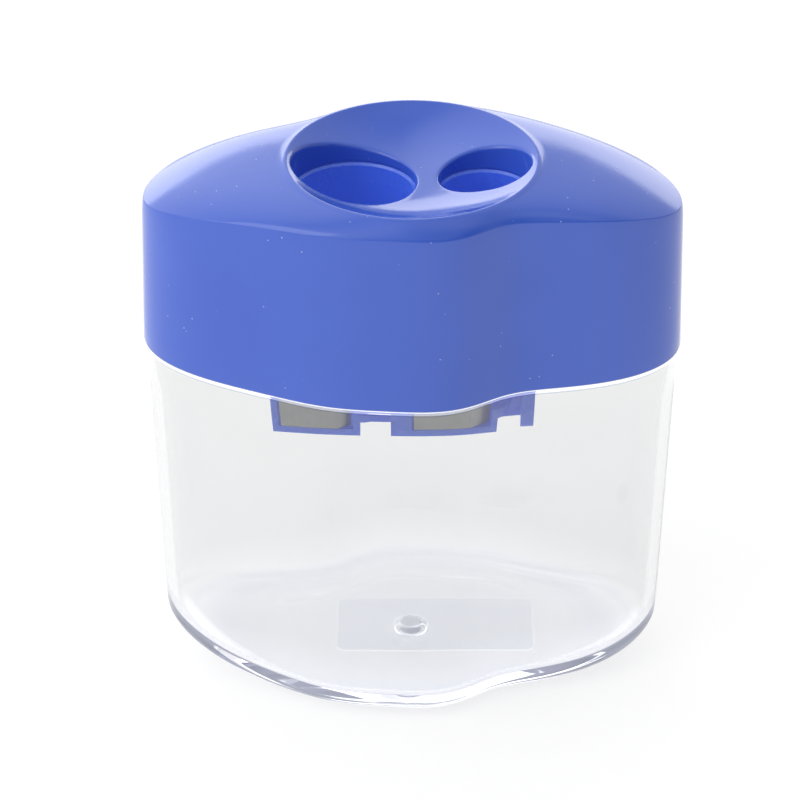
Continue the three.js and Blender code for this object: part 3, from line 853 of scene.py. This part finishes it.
class Shader:
    """A node material around one Principled BSDF.

    The constants are values of its sockets, with _ in place of each space."""

    def __init__(self, name, **constants):
        self.material = bpy.data.materials.new(name)
        self.material.use_nodes = True
        self.tree = self.material.node_tree
        self.bsdf = self.tree.nodes["Principled BSDF"]
        self.output = self.tree.nodes["Material Output"]
        for socket, value in constants.items():
            self.bsdf.inputs[socket.replace("_", " ")].default_value = value
        self.place = self.node("ShaderNodeTexCoord").outputs["Object"]

    def node(self, kind, **settings):
        made = self.tree.nodes.new(kind)
        for key, value in settings.items():
            setattr(made, key, value)
        return made

    def link(self, source, target):
        self.tree.links.new(source, target)

    def set(self, socket, source):
        self.link(source, self.bsdf.inputs[socket])

    def stretched(self, scale, turn=(0, 0, 0)):
        mapping = self.node("ShaderNodeMapping")
        mapping.inputs["Scale"].default_value = scale
        mapping.inputs["Rotation"].default_value = turn
        self.link(self.place, mapping.inputs["Vector"])
        return mapping.outputs["Vector"]

    def noise(self, scale, detail=3.0, vector=None, roughness=0.5):
        made = self.node("ShaderNodeTexNoise")
        made.inputs["Scale"].default_value = scale
        made.inputs["Detail"].default_value = detail
        made.inputs["Roughness"].default_value = roughness
        self.link(vector or self.place, made.inputs["Vector"])
        return made.outputs["Fac"]

    def specks(self, scale, size):
        """1 inside small round spots scattered on the surface, 0 elsewhere."""
        made = self.node("ShaderNodeTexVoronoi")
        made.inputs["Scale"].default_value = scale
        self.link(self.place, made.inputs["Vector"])
        return self.ramp(made.outputs["Distance"], (size * 0.6, 1), (size, 0))

    def ramp(self, value, low, high):
        """Goes from low[1] to high[1] as the value goes from low[0] to high[0]."""
        made = self.node("ShaderNodeMapRange")
        made.inputs["From Min"].default_value = low[0]
        made.inputs["From Max"].default_value = high[0]
        made.inputs["To Min"].default_value = low[1]
        made.inputs["To Max"].default_value = high[1]
        self.link(value, made.inputs["Value"])
        return made.outputs["Result"]

    def math(self, operation, a, b=0):
        made = self.node("ShaderNodeMath", operation=operation)
        for socket, value in zip(made.inputs, (a, b)):
            if isinstance(value, (int, float)):
                socket.default_value = value
            else:
                self.link(value, socket)
        return made.outputs["Value"]

    def product(self, a, b):
        return self.math("MULTIPLY", a, b)

    def inside(self, value, low, high):
        """1 where the value lies between low and high, 0 elsewhere."""
        return self.product(self.math("GREATER_THAN", value, low),
                            self.math("LESS_THAN", value, high))

    def mix(self, factor, a, b):
        made = self.node("ShaderNodeMix", data_type="RGBA")
        self.link(factor, made.inputs["Factor"])
        for name, value in (("A", a), ("B", b)):
            socket = [s for s in made.inputs if s.name == name and s.type == "RGBA"][0]
            if isinstance(value, tuple):
                socket.default_value = (*value, 1)
            else:
                self.link(value, socket)
        return [s for s in made.outputs if s.type == "RGBA"][0]

    def bump(self, height, distance, strength=1.0, normal=None):
        made = self.node("ShaderNodeBump")
        made.inputs["Distance"].default_value = distance
        made.inputs["Strength"].default_value = strength
        self.link(height, made.inputs["Height"])
        if normal is not None:
            self.link(normal, made.inputs["Normal"])
        return made.outputs["Normal"]


WHITE = (1, 1, 1, 1)
BLUE_GLOW = (0.13, 0.26, 1.0, 1)
BLUE_SCATTER = (0.5, 0.8, 3.0)
DUST = (0.52, 0.59, 0.86)
GUIDED_GLOW = (0.9, 0.95, 1.2, 1)
FROST = (0.97, 0.97, 0.98)
CLEAR_TINTS = (0.856, 0.858, 0.850), (0.866, 0.868, 0.860)
GROOVE_SHADE_TINT = (0.55, 0.62, 0.76)
FILLET_SHADE_TINT = (0.80, 0.80, 0.83)


def blue_plastic(name, colour, deep, roughness, dust, scatter_and_painted_glow=0.0):
    """Glossy moulded plastic with faint flow ripples, scuffs and dust specks, and optionally
    subsurface scattering with a painted blue glow.
    """
    # The emission is a painted glow that lightens the plastic, shaded bores included, beyond
    # what its subsurface scattering gives.
    s = Shader(name, IOR=1.53, Specular_IOR_Level=0.6, Subsurface_Weight=scatter_and_painted_glow,
               Subsurface_Scale=MM, Subsurface_Radius=BLUE_SCATTER,
               Emission_Color=BLUE_GLOW, Emission_Strength=0.2 * scatter_and_painted_glow)
    cloud = s.noise(90, 2)
    tone = s.mix(s.ramp(cloud, (0.35, 0), (0.65, 1)), colour, deep)
    speck = s.product(s.specks(760, 0.07), s.ramp(s.noise(160, 1), (0.46, 0), (0.6, dust)))
    s.set("Base Color", s.mix(speck, tone, DUST))
    rough = s.ramp(s.noise(260, 4), (0.3, roughness * 0.8), (0.75, roughness * 1.35))
    s.set("Roughness", s.math("ADD", rough, s.product(speck, 0.4)))
    ripple = s.bump(s.noise(130, 1.5), 0.06 * MM, 0.5)
    fine = s.bump(s.noise(1800, 3), 0.006 * MM, 0.6, ripple)
    s.set("Normal", s.bump(speck, 0.04 * MM, 0.8, fine))
    return s.material


def clear_plastic():
    """Clear polystyrene with a frosted bead and gate nub.

    Its thick base guides light from all sides, which is emission here. The bead glows with a
    painted highlight, and painted shade darkens the groove under it and the inner floor
    fillet."""
    s = Shader("clear_polystyrene", IOR=1.57, Emission_Color=GUIDED_GLOW)
    axes = s.node("ShaderNodeSeparateXYZ")
    s.link(s.place, axes.inputs["Vector"])
    x, y, z = (axes.outputs[name] for name in "XYZ")

    bead_low = (SHOULDER_Z - BEAD_HEIGHT - 0.1) * MM
    bead = s.inside(z, bead_low, (SHOULDER_Z + 0.02) * MM)
    # A painted bluish shade in a thin band just under the bead.
    groove_shade = s.inside(z, bead_low - 0.16 * MM, bead_low)
    reach = s.math("SQRT", s.math("ADD", s.product(x, x), s.product(y, y)))
    gate = s.product(
        s.ramp(reach, (1.5 * MM, 1), (2.1 * MM, 0)),
        s.ramp(z, ((FLOOR_Z + 0.02) * MM, 0), ((FLOOR_Z + 0.25) * MM, 1)))
    # Painted shade on the rounded corner between the inner floor and the wall.
    fillet_shade = s.product(
        s.ramp(z, ((FLOOR_Z + 0.1) * MM, 0), ((FLOOR_Z + 0.5) * MM, 1)),
        s.ramp(z, ((FLOOR_Z + 0.8) * MM, 1), ((FLOOR_Z + 1.6) * MM, 0)))

    tint = s.mix(s.noise(60, 2), *CLEAR_TINTS)
    tint = s.mix(groove_shade, tint, GROOVE_SHADE_TINT)
    tint = s.mix(fillet_shade, tint, FILLET_SHADE_TINT)
    s.set("Base Color", s.mix(s.math("MAXIMUM", bead, gate), tint, FROST))
    s.set("Transmission Weight", s.math("SUBTRACT", 1, s.product(gate, 0.6)))
    guided = s.ramp(z, (3.0 * MM, 0.065), (8.0 * MM, 0.014))
    # The bead's share of the emission is a painted highlight that makes it a bright line.
    s.set("Emission Strength", s.math("ADD", guided, s.product(bead, 0.3)))
    hair = s.noise(700, 2, s.stretched((1, 1, 0.15), (0.4, 0.2, 0.3)))
    s.set("Roughness", s.ramp(hair, (0.55, 0.0), (0.8, 0.03)))
    s.set("Normal", s.bump(s.noise(45, 1), 0.03 * MM, 0.3))
    return s.material


def paper():
    """White label paper with short fibres, and a painted glow that keeps it bright."""
    s = Shader("label_paper", IOR=1.45, Emission_Color=WHITE, Emission_Strength=0.45)
    fibre = s.noise(2600, 4, s.stretched((1, 0.35, 1)))
    s.set("Base Color", s.mix(fibre, (0.86, 0.86, 0.87), (0.92, 0.92, 0.92)))
    s.set("Roughness", s.ramp(fibre, (0.3, 0.7), (0.7, 0.9)))
    s.set("Normal", s.bump(fibre, 0.02 * MM, 0.5))
    return s.material


def steel(name, bright, dark, roughness, turn):
    """Ground steel: fine parallel grinding lines and a few deeper scratches."""
    s = Shader(name, Metallic=1.0)
    grain = s.noise(900, 6, s.stretched((12, 12, 0.35), turn), 0.65)
    blotch = s.noise(220, 3)
    tone = s.mix(s.ramp(grain, (0.35, 0), (0.65, 1)), dark, bright)
    s.set("Base Color", s.mix(s.ramp(blotch, (0.45, 0), (0.8, 0.5)), tone, dark))
    s.set("Roughness", s.ramp(grain, (0.3, roughness * 0.75), (0.7, roughness * 1.3)))
    deep = s.noise(300, 2, s.stretched((9, 9, 0.6), (0.9, 0.2, 0.5)))
    lines = s.bump(grain, 0.012 * MM, 0.8)
    s.set("Normal", s.bump(s.ramp(deep, (0.64, 0), (0.68, 1)), 0.01 * MM, 0.5, lines))
    return s.material


def floor_material():
    """Matt pale floor. Its back is open, so that the underside can be looked at."""
    s = Shader("studio_floor", IOR=1.3, Specular_IOR_Level=0.0, Roughness=0.95,
               Emission_Color=WHITE, Emission_Strength=0.72)
    s.set("Base Color", s.mix(s.noise(8, 2), (0.33, 0.33, 0.33), (0.35, 0.35, 0.35)))
    side = s.node("ShaderNodeMixShader")
    s.link(s.node("ShaderNodeNewGeometry").outputs["Backfacing"], side.inputs["Fac"])
    s.link(s.bsdf.outputs["BSDF"], side.inputs[1])
    s.link(s.node("ShaderNodeBsdfTransparent").outputs["BSDF"], side.inputs[2])
    s.link(side.outputs["Shader"], s.output.inputs["Surface"])
    return s.material


# ---- Pieces ----


def piece(name, mesh, body, node, material):
    """Places a mesh on a CAD body, in place of one of the CAD nodes."""
    obj = bpy.data.objects.new(name, mesh)
    bpy.context.collection.objects.link(obj)
    mesh.materials.clear()
    mesh.materials.append(material)
    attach(obj, body)
    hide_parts(node)


lid_blue = blue_plastic(
    "lid_blue", (0.048, 0.122, 0.60), (0.043, 0.112, 0.57), roughness=0.12, dust=0.6)
# The insert's blue is the lid's blue painted lighter, and it has a painted glow, so that its
# shaded bores come out brighter.
insert_blue = blue_plastic(
    "insert_blue", (0.06, 0.155, 0.78), (0.055, 0.145, 0.73), roughness=0.26, dust=0.3,
    scatter_and_painted_glow=0.5)
blade_steel = steel(
    "blade_steel", (0.35, 0.35, 0.34), (0.26, 0.26, 0.255), roughness=0.34,
    turn=(0.15, 0, 0))
screw_steel = steel(
    "screw_steel", (0.62, 0.61, 0.58), (0.48, 0.47, 0.45), roughness=0.26,
    turn=(0, 0.9, 0))

piece("lid_shell", lid_mesh(), "top", "lid", lid_blue)
piece("clear_container", container_mesh(), "base", "container",
      clear_plastic())
piece("blank_label", label_mesh(), "base", "base_label", paper())
piece("bore_insert", insert_mesh(), "top", "sharpener_insert",
      insert_blue)
for size, bore in BORES.items():
    piece(f"{size}_blade", blade_mesh(f"{size}_blade", bore), "top",
          f"{size}_bore_blade", blade_steel)
    piece(f"{size}_screw", screw_mesh(f"{size}_screw", bore), "top",
          f"{size}_bore_screw", screw_steel)

# ---- Studio, in metres ----

# Soft brighter and darker patches of the studio: direction, full and fading
# half angles in degrees, and how much each adds to the general level
SKY_LEVEL = 0.6
SKY_PATCHES = [
    ((-0.6, 0.7, 0.55), 18, 46, 0.75),
    ((0.6, 0.7, 0.5), 12, 42, 0.3),
    ((0.0, -0.45, 0.9), 20, 55, 0.3),
    ((-0.8, -0.5, 0.5), 15, 55, 0.45),
    ((0.38, -0.8, 0.42), 18, 46, -0.5),
    ((0.9, -0.1, 0.3), 15, 50, -0.15),
]
CAMERA_ELEVATION = math.radians(31.5)
CAMERA_DISTANCE = 0.255
CAMERA_TARGET = Vector((-0.0011, 0, 0.02837))
CAMERA_LENS, CAMERA_SENSOR = 119.93, 36
CAMERA_CLIP = 0.01
FLOOR_RADIUS = 1.6


def make_floor():
    bm = bmesh.new()
    bmesh.ops.create_circle(bm, cap_ends=True, segments=96, radius=FLOOR_RADIUS)
    mesh = bpy.data.meshes.new("studio_floor")
    bm.to_mesh(mesh)
    bm.free()
    mesh.materials.append(floor_material())
    obj = bpy.data.objects.new("studio_floor", mesh)
    bpy.context.collection.objects.link(obj)


def softbox(name, place, aim, size, power):
    lamp = bpy.data.lights.new(name, "AREA")
    lamp.shape = "RECTANGLE"
    lamp.size, lamp.size_y = size
    lamp.energy = power
    obj = bpy.data.objects.new(name, lamp)
    bpy.context.collection.objects.link(obj)
    obj.location = place
    obj.rotation_mode = "QUATERNION"
    obj.rotation_quaternion = (Vector(aim) - Vector(place)).to_track_quat("-Z", "Y")


def make_world():
    world = bpy.data.worlds.new("studio")
    world.use_nodes = True
    tree = world.node_tree
    direction = tree.nodes.new("ShaderNodeTexCoord").outputs["Generated"]
    level = None
    for toward, narrow, wide, amount in SKY_PATCHES:
        dot = tree.nodes.new("ShaderNodeVectorMath")
        dot.operation = "DOT_PRODUCT"
        dot.inputs[1].default_value = Vector(toward).normalized()
        tree.links.new(direction, dot.inputs[0])
        patch_level = tree.nodes.new("ShaderNodeMapRange")
        patch_level.interpolation_type = "SMOOTHERSTEP"
        patch_level.inputs["From Min"].default_value = math.cos(math.radians(wide))
        patch_level.inputs["From Max"].default_value = math.cos(math.radians(narrow))
        patch_level.inputs["To Max"].default_value = amount
        tree.links.new(dot.outputs["Value"], patch_level.inputs["Value"])
        total = tree.nodes.new("ShaderNodeMath")
        total.inputs[1].default_value = SKY_LEVEL
        if level is not None:
            tree.links.new(level, total.inputs[1])
        tree.links.new(patch_level.outputs["Result"], total.inputs[0])
        level = total.outputs["Value"]
    sky = tree.nodes["Background"]
    sky.inputs["Color"].default_value = WHITE
    tree.links.new(level, sky.inputs["Strength"])
    bpy.context.scene.world = world


def make_camera():
    camera = bpy.data.cameras.new("camera")
    camera.lens = CAMERA_LENS
    camera.sensor_width = CAMERA_SENSOR
    camera.clip_start = CAMERA_CLIP
    camera.dof.use_dof = False
    obj = bpy.data.objects.new("camera", camera)
    bpy.context.collection.objects.link(obj)
    back = Vector((0, -math.cos(CAMERA_ELEVATION), math.sin(CAMERA_ELEVATION)))
    obj.location = CAMERA_TARGET + back * CAMERA_DISTANCE
    obj.rotation_mode = "QUATERNION"
    obj.rotation_quaternion = (-back).to_track_quat("-Z", "Y")
    bpy.context.scene.camera = obj


make_floor()
make_world()
softbox("key_left", place=(-0.5, -0.25, 0.45), aim=(0, 0, 0.03), size=(0.5, 0.5), power=1.0)
softbox("low_back", place=(0.0, 0.75, 0.16), aim=(0, 0, 0.05), size=(1.15, 0.3), power=1.85)
make_camera()
bpy.context.scene.view_settings.view_transform = "Standard"
